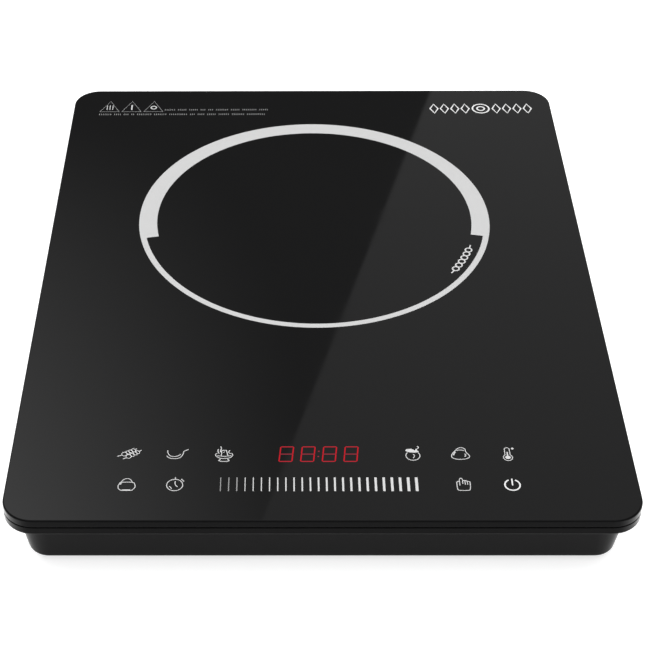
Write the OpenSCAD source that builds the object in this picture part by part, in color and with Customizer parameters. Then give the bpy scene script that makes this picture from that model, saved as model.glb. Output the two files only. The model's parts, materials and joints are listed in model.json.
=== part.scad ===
// Portable induction cooktop with a frameless glass top, in millimetres.
// Origin: centre of the footprint, on the surface that the feet stand on.
// +X is the user's right, +Y is the back, +Z is up.

/* [Glass] */
// Width of the glass, left to right
glass_w = 290; // [286:1:300]
// Depth of the glass, front to back
glass_d = 370; // [366:1:380]
// Thickness of the glass
glass_t = 4; // [3.5:0.5:5]
// Corner radius of the glass and the frame under it
glass_corner_r = 15; // [12:1:18]
// Radius of the ground edge of the glass
glass_edge_r = 0.9; // [0.6:0.1:1.2]

/* [Case] */
// Height of the feet below the case
foot_h = 4; // [3:0.5:6]
// Height of the drafted part of the lower housing
case_h = 24.4; // [24:0.2:27]
// Thickness of the frame's visible band
lip_t = 4.2; // [3.8:0.1:4.6]
// Thickness of the adhesive seal between the frame and the glass
seal_t = 0.4; // [0.3:0.1:0.6]
// How far the housing's wall is inside the glass edge at its top
case_top_inset = 5; // [4.5:0.5:6]
// How far the housing's wall is inside the glass edge at its bottom
case_bottom_inset = 9; // [8:0.5:10]
// Corner radius of the housing at its bottom
case_corner_r = 10; // [9:0.5:12]
// Radius of the housing's bottom edge
case_edge_r = 3; // [2:0.5:3.5]
// Wall thickness of the housing
wall = 2.5; // [2:0.1:2.8]

/* [Coil] */
// Distance of the cooking zone's centre behind the middle of the glass
zone_y = 49; // [46:1:50]
// Number of turns in the winding
coil_turns = 21; // [19:1:21]
// Distance from one turn to the next
coil_pitch = 3.1; // [3:0.05:3.1]
// Diameter of the stranded wire
wire_d = 2.8; // [2.4:0.1:2.8]

/* [Fan] */
// Width of the square fan frame
fan_w = 80; // [76:1:82]
// Height of the fan
fan_h = 15; // [15:0.5:16]
// Number of blades
blade_count = 7; // [5:1:9]

/* [Display] */
// Shows one node, or all of them

/* [Hidden] */
$fn = 64;
eps = 0.01;

// Heights, from the standing surface up
floor_z = foot_h;
case_top_z = floor_z + case_h;
frame_top_z = case_top_z + lip_t;
glass_z = frame_top_z + seal_t;
floor_t = 2.5;
inside_z = floor_z + floor_t;

// Glass and frame: corner centres, and the frame's opening
glass_hx = glass_w / 2 - glass_corner_r;
glass_hy = glass_d / 2 - glass_corner_r;
seal_inset = 1.2;
seal_w = 8;
ledge_w = 13;
lip_edge_r = 0.9;

// Lower housing: corner centres and the draft of its walls
case_hx = glass_w / 2 - case_bottom_inset - case_corner_r;
case_hy = glass_d / 2 - case_bottom_inset - case_corner_r;
case_top_r = case_corner_r + case_bottom_inset - case_top_inset;
draft_tan = (case_top_r - case_corner_r) / case_h;
draft = atan(draft_tan);
inner_edge_r = 1.5;

// Case screws and their posts
case_screw_at = [for (x = [-1, 1], y = [-1, 0, 1]) [x * (case_hx - 4), y * (case_hy - 5)]];
post_r = 5.2;
post_top_z = 14;
boss_r = 4;
screw_head_r = 3.1;
screw_bore_r = 1.8;
screw_r = 1.5;
counterbore_r = 4;
counterbore_z = 9;

// Feet
foot_r = 9;
foot_recess = 1;
foot_at = [case_hx - 20, case_hy - 18];

// Cord gland in the back wall
gland_x = 98;
gland_z = 16;
gland_boss_r = 9.2;
gland_r = 6.5;
gland_flange_r = 8.5;
gland_bore_r = 3.9;
gland_out_y = glass_d / 2 - 5;
gland_in_y = gland_out_y - 10;
gland_tail = 5.5;

// Vents
slot_w = 3;
vent_pitch = 6;
vent_count = 27;
vent_x = -12;
grille_r0 = 12;
grille_pitch = 5.3;
grille_rings = 5;
grille_slot = 3.1;
spoke_w = 2.4;
spoke_count = 8;

// Coil assembly
wire_r = wire_d / 2;
bar_count = 6;
coil_r0 = 22;
disc_z = 26;
disc_t = 2;
former_r = 92;
former_rim = 2;
hub_r = 15.5;
hub_bore_r = 13;
channel_z = 21.5;
bar = [56, 12, 4.2];
bar_r0 = 26;
ear_at = [for (a = [45 : 90 : 315]) a];
ear_r = 6.5;
ear_reach = 97;
ear_z = 22;
ear_t = 6.5;
mica_z = disc_z + disc_t + wire_d + 0.2;
mica_t = 0.4;
pad_t = 1.4;
sheet_r = 89;
sensor_r = 7.5;

// Main board
board = [-40, -128, 162, 86];
board_z = 11;
board_t = 1.6;
board_top = board_z + board_t;
board_screw_at = [[-34, -122], [116, -122], [-34, -48], [116, -48]];
sink = [-36, -104, 66, 56];
sink_z = board_top + 5;
sink_base = 3;
sink_top = 30.6;
fin_count = 12;
fin_t = 1.5;
terminal_y = [-52, -76];
terminal_z = 21.4;

// Control panel
panel = [-106, -171, 212, 36];
panel_z = 26;
panel_top = panel_z + board_t;
tray_z = 22.6;
tray_t = 2;
tray_screw_at = [for (x = [-1, 1], y = [-166, -139.5]) [x * 101, y]];
key_at = concat(
    [for (x = [-89.5, -67, -45.5, 42.5, 65]) [x, -141.5]],
    [[86, -141.5]],
    [for (x = [-89.5, -67, 65, 87]) [x, -161.5]],
    [for (i = [0 : 7]) [-46 + i * 12.8, -161.5]]);
key_r = 3.6;
display = [-22.5, -149.5, 42, 16];
display_h = 4.8;

// Fan
fan_x = -88;
fan_y = -90;
fan_z = 9;
fan_bore_r = fan_w / 2 - 2;
fan_hole = fan_w / 2 - 4.25;
fan_flange = 3.2;
fan_hub_r = 17;
fan_tip_r = fan_bore_r - 1.2;
shaft_r = 1.5;
bearing_r = 3;
bearing_clearance = 0.03;
rotor_z = fan_z + 0.8;
rotor_h = 11;
strut_z = fan_z + fan_h - 2.2;

// ---- Shared shapes -------------------------------------------------------

// Rounded rectangle, flat, centred, made of true arcs
module round_rect(w, d, r) {
    square([w - 2 * r, d], center = true);
    square([w, d - 2 * r], center = true);
    for (x = [-1, 1], y = [-1, 1])
        translate([x * (w / 2 - r), y * (d / 2 - r)]) circle(r);
}

// Rounded plate from a corner
module plate(at, z, t, r = 2) {
    translate([at[0] + at[2] / 2, at[1] + at[3] / 2, z])
        linear_extrude(t) round_rect(at[2], at[3], r);
}

// Carries a half profile (x outward, y up) round a rectangle whose corner
// centres are at +-hx, +-hy. The core fills the middle from z0 to z1.
module swept_block(hx, hy, z0, z1) {
    for (i = [0 : 3]) {
        along_x = i % 2 == 1;
        cx = (i == 0 || i == 3) ? hx : -hx;
        cy = i < 2 ? hy : -hy;
        translate([cx, cy, 0]) rotate([0, 0, 90 * i])
            rotate_extrude(angle = 90) children();
        rotate([0, 0, 90 * i]) translate([along_x ? hy : hx, 0, 0])
            rotate([90, 0, 0]) linear_extrude(2 * (along_x ? hx : hy), center = true)
                children();
    }
    translate([-hx, -hy, z0]) cube([2 * hx, 2 * hy, z1 - z0]);
}

// Half profile of a plate with rounded edges
module edge_profile(r, z0, z1, r_low, r_high) {
    translate([0, z0]) square([r - max(r_low, r_high), z1 - z0]);
    translate([0, z0 + r_low]) square([r, z1 - z0 - r_low - r_high]);
    translate([0, z0]) square([r - r_low, r_low]);
    translate([0, z1 - r_high]) square([r - r_high, r_high]);
    translate([r - r_low, z0 + r_low]) circle(r_low);
    translate([r - r_high, z1 - r_high]) circle(r_high);
}

// Half profile of a drafted wall with a rounded bottom edge
module draft_profile(r0, z0, z1, f) {
    xc = r0 - f * (1 - sin(draft)) / cos(draft);
    polygon([
        [0, z0], [xc, z0],
        [xc + f * cos(draft), z0 + f - f * sin(draft)],
        [r0 + (z1 - z0) * draft_tan, z1], [0, z1]]);
    translate([xc, z0 + f]) circle(f);
}

// Upright ring
module ring(r_out, r_in, z, h) {
    translate([0, 0, z]) difference() {
        cylinder(r = r_out, h = h);
        translate([0, 0, -1]) cylinder(r = r_in, h = h + 2);
    }
}

// Screw with a domed head and a cross recess, head down at z, shank up
module screw(z, head_r, head_h, r, length) {
    translate([0, 0, z]) {
        difference() {
            intersection() {
                cylinder(r = head_r, h = head_h);
                translate([0, 0, head_r * 1.6]) sphere(r = head_r * 1.6 + eps);
            }
            for (a = [0, 90]) rotate([0, 0, a])
                translate([-head_r * 0.55, -0.35, -1]) cube([head_r * 1.1, 0.7, 1 + head_h * 0.55]);
        }
        cylinder(r = r, h = length);
    }
}

// The same screw with its head up at z and its shank down
module screw_down(z, head_r, head_h, r, length) {
    translate([0, 0, 2 * z]) mirror([0, 0, 1]) screw(z, head_r, head_h, r, length);
}

// Points of a smooth curve through the points of p, with n steps in each span
function spline_point(a, b, c, d, t) =
    ((2 * b) + (c - a) * t + (2 * a - 5 * b + 4 * c - d) * t * t
     + (3 * b - a - 3 * c + d) * t * t * t) / 2;
function smooth(p, n) = concat(
    [for (i = [0 : len(p) - 2], k = [0 : n - 1])
        spline_point(p[max(i - 1, 0)], p[i], p[i + 1], p[min(i + 2, len(p) - 1)], k / n)],
    [p[len(p) - 1]]);
function unit(v) = v / norm(v);
function tangents(p) =
    [for (i = [0 : len(p) - 1]) unit(p[min(i + 1, len(p) - 1)] - p[max(i - 1, 0)])];

// Round tube along the points of p
module tube(p, r, sides = 8) {
    t = tangents(p);
    first = unit(cross(t[0], abs(t[0][2]) < 0.9 ? [0, 0, 1] : [1, 0, 0]));
    side = [for (i = 0, n = first; i < len(p);
        i = i + 1, n = i < len(p) ? unit(n - (n * t[i]) * t[i]) : n) n];
    points = [for (i = [0 : len(p) - 1], k = [0 : sides - 1])
        let (a = 360 * k / sides)
        p[i] + r * (cos(a) * side[i] + sin(a) * cross(t[i], side[i]))];
    walls = [for (i = [0 : len(p) - 2], k = [0 : sides - 1])
        let (a = i * sides + k, b = i * sides + (k + 1) % sides)
        [a, a + sides, b + sides, b]];
    last = (len(p) - 1) * sides;
    polyhedron(
        points = points,
        faces = concat(
            [[for (k = [0 : sides - 1]) k]],
            walls,
            [[for (k = [sides - 1 : -1 : 0]) last + k]]));
}

// Two wires side by side along the points of p
module wire_pair(p, r, spacing, sides = 6) {
    t = tangents(p);
    for (s = [-1, 1])
        tube([for (i = [0 : len(p) - 1]) p[i] + s * spacing / 2 * unit(cross(t[i], [0, 0, 1]))], r, sides);
}

// Flat outline of a strip of thickness t that follows the points of p
function strip(p, t) =
    let (d = tangents(p))
    concat(
        [for (i = [0 : len(p) - 1]) p[i] + t / 2 * [-d[i][1], d[i][0]]],
        [for (i = [len(p) - 1 : -1 : 0]) p[i] - t / 2 * [-d[i][1], d[i][0]]]);

// ---- Glass and case ------------------------------------------------------

module glass_top() {
    color([0.03, 0.03, 0.035])
        swept_block(glass_hx, glass_hy, glass_z, glass_z + glass_t)
            edge_profile(glass_corner_r, glass_z, glass_z + glass_t, glass_edge_r / 2, glass_edge_r);
}

module glass_seal() {
    w = glass_w - 2 * seal_inset;
    d = glass_d - 2 * seal_inset;
    r = glass_corner_r - seal_inset;
    color([0.05, 0.05, 0.05])
        translate([0, 0, frame_top_z]) linear_extrude(seal_t) difference() {
            round_rect(w, d, r);
            round_rect(w - 2 * seal_w, d - 2 * seal_w, r - seal_w);
        }
}

module upper_frame() {
    skirt_r = case_top_r - wall - 0.6;
    color([0.06, 0.06, 0.065]) difference() {
        union() {
            difference() {
                swept_block(glass_hx, glass_hy, case_top_z, frame_top_z)
                    edge_profile(glass_corner_r, case_top_z, frame_top_z, lip_edge_r, 0.3);
                translate([0, 0, case_top_z - 1]) linear_extrude(lip_t + 2)
                    round_rect(glass_w - 2 * ledge_w, glass_d - 2 * ledge_w, 6);
            }
            // Skirt that drops inside the housing's wall
            translate([0, 0, case_top_z - 3]) linear_extrude(3 + eps) difference() {
                round_rect(2 * (case_hx + skirt_r), 2 * (case_hy + skirt_r), skirt_r);
                round_rect(2 * (case_hx + skirt_r - 2), 2 * (case_hy + skirt_r - 2), skirt_r - 2);
            }
            // Screw bosses, on tabs that reach in from the frame
            for (p = case_screw_at) {
                translate([p[0], p[1], post_top_z + 0.2])
                    cylinder(r = boss_r, h = case_top_z - post_top_z);
                tab_w = p[1] == 0 ? 22 : 14;
                side = sign(p[0]);
                translate([side > 0 ? p[0] - 5 : -glass_w / 2 + ledge_w - 2, p[1] - tab_w / 2, case_top_z])
                    cube([glass_w / 2 - ledge_w + 2 - abs(p[0]) + 5, tab_w, 3]);
            }
        }
        for (p = case_screw_at)
            translate([p[0], p[1], post_top_z - 1]) cylinder(r = screw_r, h = 11);
    }
}

module grille_slots() {
    translate([fan_x, fan_y, floor_z - 1]) difference() {
        for (i = [0 : grille_rings - 1])
            ring(grille_r0 + i * grille_pitch + grille_slot, grille_r0 + i * grille_pitch, 0, floor_t + 2);
        for (i = [0 : spoke_count / 2 - 1]) rotate([0, 0, i * 360 / spoke_count])
            translate([-45, -spoke_w / 2, -1]) cube([90, spoke_w, floor_t + 4]);
    }
}

module vent_slots() {
    for (i = [0 : vent_count - 1]) {
        x = vent_x + (i - (vent_count - 1) / 2) * vent_pitch;
        translate([x - slot_w / 2, glass_d / 2 - 16, floor_z + 6]) cube([slot_w, 16, 14]);
        if (abs(x) < 78)
            translate([x, case_hy - 12, floor_z - 1]) linear_extrude(floor_t + 2) {
                square([slot_w, 14], center = true);
                for (y = [-7, 7]) translate([0, y]) circle(slot_w / 2);
            }
    }
}

module housing_posts() {
    for (p = case_screw_at)
        translate([p[0], p[1], inside_z - eps]) cylinder(r = post_r, h = post_top_z - inside_z + eps);
    for (x = [-1, 1], y = [-1, 1])
        translate([fan_x + x * fan_hole, fan_y + y * fan_hole, inside_z - eps])
            cylinder(r = 3.6, h = fan_z - inside_z + eps);
    for (p = board_screw_at)
        translate([p[0], p[1], inside_z - eps]) cylinder(r = 3.4, h = board_z - inside_z + eps);
    for (p = tray_screw_at)
        translate([p[0], p[1], inside_z - eps]) cylinder(r = 3.4, h = tray_z - inside_z + eps);
    for (a = ear_at)
        translate([ear_reach * cos(a), zone_y + ear_reach * sin(a), inside_z - eps])
            cylinder(r = 4.5, h = ear_z - inside_z + eps);
}

module housing_holes() {
    for (p = case_screw_at) translate([p[0], p[1], 0]) {
        translate([0, 0, floor_z - 1]) cylinder(r = counterbore_r, h = counterbore_z - floor_z + 1);
        cylinder(r = screw_bore_r, h = post_top_z + 1);
    }
    for (x = [-1, 1], y = [-1, 1])
        translate([fan_x + x * fan_hole, fan_y + y * fan_hole, floor_z + 1]) cylinder(r = 1.3, h = 10);
    for (p = board_screw_at) translate([p[0], p[1], floor_z + 1]) cylinder(r = 1.2, h = 10);
    for (p = tray_screw_at) translate([p[0], p[1], tray_z - 9]) cylinder(r = 1.2, h = 10);
    for (a = ear_at)
        translate([ear_reach * cos(a), zone_y + ear_reach * sin(a), ear_z - 10]) cylinder(r = 1.2, h = 11);
    for (x = [-1, 1], y = [-1, 1])
        translate([x * foot_at[0], y * foot_at[1], floor_z - 1])
            cylinder(r = foot_r + 0.3, h = 1 + foot_recess);
    // Shallow recess for a rating plate
    translate([30, 20, floor_z - 1]) linear_extrude(1.4) round_rect(90, 56, 3);
    translate([gland_x, glass_d / 2, gland_z]) rotate([90, 0, 0]) cylinder(r = gland_r, h = 40);
}

module lower_housing() {
    inner_r = case_corner_r + floor_t * draft_tan - wall / cos(draft);
    color([0.05, 0.05, 0.055]) difference() {
        union() {
            difference() {
                swept_block(case_hx, case_hy, floor_z, case_top_z)
                    draft_profile(case_corner_r, floor_z, case_top_z, case_edge_r);
                swept_block(case_hx, case_hy, inside_z, case_top_z + 1)
                    draft_profile(inner_r, inside_z, case_top_z + 1, inner_edge_r);
            }
            housing_posts();
            translate([gland_x, gland_out_y, gland_z]) rotate([90, 0, 0])
                cylinder(r = gland_boss_r, h = gland_out_y - gland_in_y);
        }
        housing_holes();
        grille_slots();
        vent_slots();
    }
}

module foot(x, y) {
    color([0.12, 0.12, 0.12]) translate([x * foot_at[0], y * foot_at[1], 0])
        rotate_extrude() {
            edge_profile(foot_r, 0, floor_z + foot_recess, 1.2, 0.2);
        }
}

module case_screws() {
    color([0.55, 0.56, 0.58]) for (p = case_screw_at)
        translate([p[0], p[1], 0]) screw(counterbore_z - 2.2, screw_head_r, 2.2, screw_r, 16);
}

module cord_gland() {
    color([0.1, 0.1, 0.1]) translate([gland_x, 0, gland_z]) rotate([-90, 0, 0]) difference() {
        union() {
            translate([0, 0, gland_out_y]) cylinder(r = gland_flange_r, h = 1.6);
            translate([0, 0, gland_out_y + 1.6]) cylinder(r1 = gland_flange_r, r2 = gland_flange_r - 1.2, h = 1.2);
            translate([0, 0, gland_in_y - gland_tail]) cylinder(r = gland_r, h = gland_out_y - gland_in_y + gland_tail);
        }
        translate([0, 0, gland_in_y - gland_tail - 1]) cylinder(r = gland_bore_r, h = 30);
    }
}

module cord_gland_nut() {
    color([0.1, 0.1, 0.1]) translate([gland_x, gland_in_y, gland_z]) rotate([90, 0, 0]) difference() {
        cylinder(r = 9, h = 4, $fn = 6);
        translate([0, 0, -1]) cylinder(r = gland_r, h = 6);
    }
}

// ---- Coil assembly -------------------------------------------------------

module coil_former() {
    spacing = 360 / bar_count;
    color([0.16, 0.16, 0.17]) translate([0, zone_y, 0]) difference() {
        union() {
            rotate_extrude() {
                translate([hub_bore_r, disc_z]) square([former_r - hub_bore_r, disc_t]);
                translate([former_r - former_rim, disc_z]) square([former_rim, disc_t + wire_d + 0.4]);
                translate([hub_bore_r, channel_z]) square([hub_r - hub_bore_r, disc_z - channel_z + disc_t + wire_d]);
            }
            for (i = [0 : bar_count - 1], s = [-1, 1]) rotate([0, 0, (i + 0.5) * spacing])
                translate([bar_r0 - 1.5, s * (bar[1] / 2 + 0.95) - 0.75, channel_z])
                    cube([bar[0] + 3, 1.5, disc_z - channel_z + disc_t / 2]);
            for (a = ear_at) rotate([0, 0, a]) translate([ear_reach, 0, ear_z]) cylinder(r = ear_r, h = ear_t);
        }
        for (a = ear_at) rotate([0, 0, a]) translate([ear_reach, 0, ear_z - 1]) cylinder(r = 1.7, h = ear_t + 2);
        // Windows between the ferrite channels
        for (i = [0 : bar_count - 1]) rotate([0, 0, i * spacing - 14])
            translate([0, 0, disc_z - 1]) rotate_extrude(angle = 28)
                translate([44, 0]) square([38, disc_t + 2]);
        // Passages for the two ends of the winding
        translate([coil_r0 - 1, 9.3, disc_z - 1]) cylinder(r = 3.8, h = disc_t + 2);
        translate([former_r - 6, -17, disc_z - 1]) cube([10, 21, disc_t + wire_d + 3]);
    }
}

// A spiral of half turns, whose centres alternate so that each meets the next
module induction_coil() {
    color([0.72, 0.42, 0.22]) translate([0, zone_y, disc_z + disc_t + wire_r]) mirror([0, 1, 0])
        for (k = [0 : 2 * coil_turns - 1]) {
            r = coil_r0 + coil_pitch / 4 + k * coil_pitch / 2;
            translate([(k % 2 == 0 ? -1 : 1) * coil_pitch / 4, 0, 0]) rotate([0, 0, k % 2 == 0 ? 0 : 180])
                rotate_extrude(angle = 180) translate([r, 0]) circle(wire_r);
        }
}

module ferrite_bar(i) {
    color([0.2, 0.2, 0.22]) translate([0, zone_y, 0]) rotate([0, 0, (i - 0.5) * 360 / bar_count])
        translate([bar_r0, -bar[1] / 2, disc_z - bar[2]]) cube(bar);
}

module mica_sheet() {
    color([0.75, 0.7, 0.58]) translate([0, zone_y, 0]) ring(sheet_r, 9, mica_z, mica_t);
}

module insulation_pad() {
    color([0.9, 0.89, 0.85]) translate([0, zone_y, 0]) ring(sheet_r - 2, 9, mica_z + mica_t, pad_t);
}

module sensor_cap() {
    color([0.8, 0.8, 0.78]) translate([0, zone_y, 0]) difference() {
        union() {
            translate([0, 0, 27]) cylinder(r = sensor_r, h = glass_z - 27);
            translate([0, 0, 24]) cylinder(r = hub_bore_r, h = 3);
        }
        translate([0, 0, 23]) cylinder(r = 3, h = glass_z - 1.2 - 23);
    }
}

module coil_thermistor() {
    color([0.25, 0.3, 0.2]) translate([0, zone_y, glass_z - 1.2 - 6]) {
        cylinder(r = 2.6, h = 6);
        for (x = [-1, 1]) translate([x, 0, -3]) cylinder(r = 0.4, h = 3.2);
    }
}

sensor_route = [[0, 49, 22.6], [0.4, 47, 19], [4, 30, 17], [6, -10, 17], [-2, -38, 16],
    [-24, -41, 16], [-38, -45, 17], [-42.5, -58, 18], [-42.5, -90, 18], [-41, -104, 19.4],
    [-35, -111.6, 21.4], [-31, -113.2, 20.6], [-30, -113.6, 17.8]];

module sensor_leads() {
    color([0.85, 0.85, 0.82]) wire_pair(smooth(sensor_route, 4), 0.7, 1.8);
}

module coil_screws() {
    color([0.7, 0.7, 0.72]) translate([0, zone_y, 0]) for (a = ear_at) rotate([0, 0, a])
        translate([ear_reach, 0, 0]) screw_down(ear_z + ear_t + 2, 3, 2, 1.2, 14);
}

// Each lead starts on the end of the winding and stops in its ring terminal
lead_z = disc_z + disc_t + wire_r;
inner_route = [[22, 0, lead_z], [22, 3, lead_z], [21.6, 6.6, 28.6], [21.2, 9, 25.5], [21, 9.6, 21.6], [22, 6, 18.4],
    [26, -10, 17.5], [34, -50, 17.5], [37, -78, 20], [37, -91, 23.3], [37, -95, 23.3]];
outer_route = [[87.1, 0, lead_z], [87.3, -5, lead_z - 0.5], [88.5, -13, 25], [86, -26, 19],
    [76, -42, 18], [58, -60, 18], [49, -80, 20], [43.5, -96, 27.5], [41, -106, 27.5],
    [38.3, -111.5, 25.6], [37, -116, 23.6], [37, -119, 23.3]];

module coil_lead(route, y_end) {
    color([0.75, 0.3, 0.2])
        tube([for (p = smooth(route, 4)) [p[0], p[1] + zone_y, p[2]]], 1.35, 8);
    color([0.8, 0.75, 0.6]) translate([37, y_end, terminal_z]) {
        ring(3.2, 1.6, 0, 1);
        translate([-1.5, 2.6, 0]) cube([3, 3, 1]);
        translate([0, 4.2, 1.9]) rotate([-90, 0, 0]) cylinder(r = 1.9, h = 5);
    }
}

// ---- Main board ----------------------------------------------------------

module main_board() {
    color([0.1, 0.35, 0.18]) difference() {
        plate(board, board_z, board_t);
        for (p = board_screw_at) translate([p[0], p[1], board_z - 1]) cylinder(r = 1.6, h = board_t + 2);
    }
}

module board_screws() {
    color([0.7, 0.7, 0.72]) for (p = board_screw_at)
        translate([p[0], p[1], 0]) screw_down(board_top + 1.6, 2.6, 1.6, 1.2, 9);
}

module heat_sink() {
    gap = (sink[2] - fin_t) / (fin_count - 1);
    color([0.75, 0.76, 0.78]) translate([sink[0], sink[1], sink_z]) {
        cube([sink[2], sink[3], sink_base]);
        for (i = [0 : fin_count - 1])
            translate([i * gap, 0, sink_base - eps]) cube([fin_t, sink[3], sink_top - sink_z - sink_base + eps]);
        for (x = [5, sink[2] - 5], y = [5, sink[3] - 5])
            translate([x, y, board_top - sink_z]) cylinder(r = 1.5, h = sink_z - board_top + eps);
    }
}

// Moulded power device lying flat, with its leads bent down to the board
module power_device(at, body, lead_count, pitch) {
    color([0.1, 0.1, 0.11]) translate([at[0], at[1], sink_z - body[2]]) cube(body);
    color([0.8, 0.8, 0.82]) for (i = [0 : lead_count - 1]) {
        x = at[0] + body[0] / 2 + (i - (lead_count - 1) / 2) * pitch;
        translate([x - 0.6, at[1] - 4, board_top]) {
            translate([0, 0, sink_z - board_top - 3]) cube([1.2, 4, 0.6]);
            cube([1.2, 0.6, sink_z - board_top - 2.4]);
        }
    }
}

module igbt() { power_device([-26, -88, 0], [16, 21, 5], 3, 5.4); }

module bridge_rectifier() { power_device([0, -86, 0], [26, 18, 4.8], 4, 6); }

module box_capacitor(at, size, tone) {
    color(tone) translate([at[0], at[1], board_top]) {
        cube(size);
    }
}

module resonant_capacitor() { box_capacitor([44, -72], [32, 18, 17], [0.15, 0.25, 0.5]); }

module smoothing_capacitor() { box_capacitor([80, -74], [38, 22, 17.5], [0.85, 0.82, 0.75]); }

module interference_capacitor() { box_capacitor([54, -90], [26, 10, 15], [0.9, 0.75, 0.2]); }

module choke_core() {
    color([0.25, 0.26, 0.24]) translate([102, -93, 0]) ring(12, 7, board_top + 2, 9);
}

module choke_winding() {
    color([0.72, 0.4, 0.2]) translate([102, -93, board_top + 6.5]) for (side = [0, 180], i = [-4 : 4])
        rotate([0, 0, side + i * 17]) translate([9.5, 0, 0]) rotate([90, 0, 0])
            linear_extrude(1.4, center = true) difference() {
                round_rect(7.8, 11.8, 1.2);
                square([5.3, 9.3], center = true);
            }
}

module supply_transformer() {
    color([0.2, 0.2, 0.2]) translate([56, -112, board_top]) {
        cube([20, 18, 3]);
        translate([2, 2, 3]) cube([16, 3.5, 12]);
        translate([2, 12.5, 3]) cube([16, 3.5, 12]);
        translate([2, 2, 3]) cube([4, 14, 12]);
        translate([14, 2, 3]) cube([4, 14, 12]);
    }
    color([0.85, 0.7, 0.2]) translate([66, -103, board_top + 3]) cylinder(r = 3.4, h = 11);
}

module electrolytic_capacitors() {
    color([0.15, 0.2, 0.35]) for (x = [43, 55.5, 68])
        translate([x, -120, board_top]) rotate_extrude() edge_profile(5, 0, 13, 0.3, 0.6);
}

module fuse() {
    color([0.85, 0.85, 0.8]) translate([88, -118, board_top + 3.4]) rotate([0, 90, 0]) cylinder(r = 2.4, h = 20);
    color([0.8, 0.8, 0.82]) for (x = [87, 103.5])
        translate([x, -118, board_top + 3.4]) rotate([0, 90, 0]) ring(2.9, 2.4, 0, 5.5);
    color([0.8, 0.8, 0.82]) for (x = [89, 105.5])
        translate([x - 0.5, -119, board_top]) cube([2, 2, 1]);
}

module varistor() {
    color([0.2, 0.35, 0.6]) translate([82, -101, board_top + 6.6]) rotate([90, 0, 0])
        cylinder(r = 5.5, h = 3.6, center = true);
    color([0.8, 0.8, 0.82]) for (x = [-2.5, 2.5])
        translate([82 + x, -101, board_top]) cylinder(r = 0.4, h = 3);
}

module buzzer() {
    color([0.08, 0.08, 0.08]) translate([-16, -118, 0]) difference() {
        translate([0, 0, board_top]) cylinder(r = 6, h = 8);
        translate([0, 0, board_top + 6]) cylinder(r = 1.2, h = 3);
    }
}

// Two posts for the winding's leads and two for the mains
module screw_terminals() {
    post_h = terminal_z - board_top;
    for (y = terminal_y) color([0.8, 0.68, 0.35]) translate([37, y, board_top]) {
        cylinder(r = 3, h = post_h);
        translate([0, 0, post_h - eps]) cylinder(r = 1.6, h = 1.2);
        translate([0, 0, post_h + 1]) cylinder(r = 3, h = 2, $fn = 6);
    }
    for (x = [88, 100]) color([0.8, 0.68, 0.35]) translate([x, -46.5, board_top]) {
        translate([-3.2, -1.5, 0]) cube([6.4, 3, 1]);
        translate([-3.15, -0.4, 0]) cube([6.3, 0.8, 8]);
    }
}

module header(at, size) {
    color([0.9, 0.9, 0.86]) translate([at[0] - size[0] / 2, at[1] - size[1] / 2, at[2]]) difference() {
        cube(size);
        translate([1, 1, size[2] - 1.2]) cube([size[0] - 2, size[1] - 2, 2]);
    }
}

module board_connectors() {
    header([-30, -113.6, board_top], [8, 6, 6]);
    header([-4, -117.6, board_top], [8, 6, 6]);
    header([29.5, -118, board_top], [16, 6, 8]);
}

// ---- Control panel -------------------------------------------------------

module control_board() {
    color([0.1, 0.35, 0.18]) difference() {
        plate(panel, panel_z, board_t);
        for (p = tray_screw_at) translate([p[0], p[1], panel_z - 1]) cylinder(r = 1.6, h = board_t + 2);
    }
    header([29.5, -138.5, panel_top], [16, 5, 4]);
}

module control_tray() {
    inset = 1;
    color([0.16, 0.16, 0.17]) difference() {
        union() {
            plate(panel, tray_z, tray_t);
            difference() {
                plate(panel, tray_z, panel_z - tray_z);
                plate([panel[0] + inset, panel[1] + inset, panel[2] - 2 * inset, panel[3] - 2 * inset], tray_z, 5);
            }
            for (p = tray_screw_at) translate([p[0], p[1], tray_z]) cylinder(r = 3.2, h = panel_z - tray_z);
        }
        for (p = tray_screw_at) translate([p[0], p[1], tray_z - 1]) cylinder(r = 1.6, h = 6);
        for (x = [-80 : 32 : 80]) translate([x, -153, tray_z - 1]) linear_extrude(tray_t + 2) round_rect(22, 16, 3);
    }
}

module tray_screws() {
    color([0.7, 0.7, 0.72]) for (p = tray_screw_at)
        translate([p[0], p[1], 0]) screw_down(panel_top + 1.6, 2.6, 1.6, 1.2, 12);
}

// Four-digit LED display: a case with the seven segment wells of each digit
module display_module() {
    digit_h = 10.4;
    seg_w = 1;
    color([0.15, 0.15, 0.16]) difference() {
        plate(display, panel_top, display_h, 0.8);
        for (i = [0 : 3])
            translate([-16.6 + i * 10, -141.6, panel_top + display_h - 1])
                multmatrix([[1, tan(7), 0, 0], [0, 1, 0, 0], [0, 0, 1, 0], [0, 0, 0, 1]]) {
                    for (y = [-1, 0, 1]) translate([-2.4, y * (digit_h / 2 - seg_w / 2) - seg_w / 2, 0]) cube([4.8, seg_w, 2]);
                    for (x = [-1, 1], y = [-1, 1]) translate([x * 3.1 - seg_w / 2, y * digit_h / 4 - 1.7, 0]) cube([seg_w, 3.4, 2]);
                }
    }
}

module touch_pads() {
    color([0.2, 0.2, 0.2]) for (p = key_at)
        translate([p[0], p[1], panel_top]) cylinder(r = key_r, h = glass_z - panel_top);
}

module touch_controller() {
    color([0.08, 0.08, 0.08]) translate([-8, -163.2, panel_z - 1.4]) {
        for (x = [-21, 27]) translate([x, 0, 0]) {
            cube([10, 7, 1.4]);
            for (i = [0 : 6], y = [-1, 7]) translate([0.6 + i * 1.35, y, 0.8]) cube([0.6, 1, 0.6]);
        }
    }
}

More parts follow.
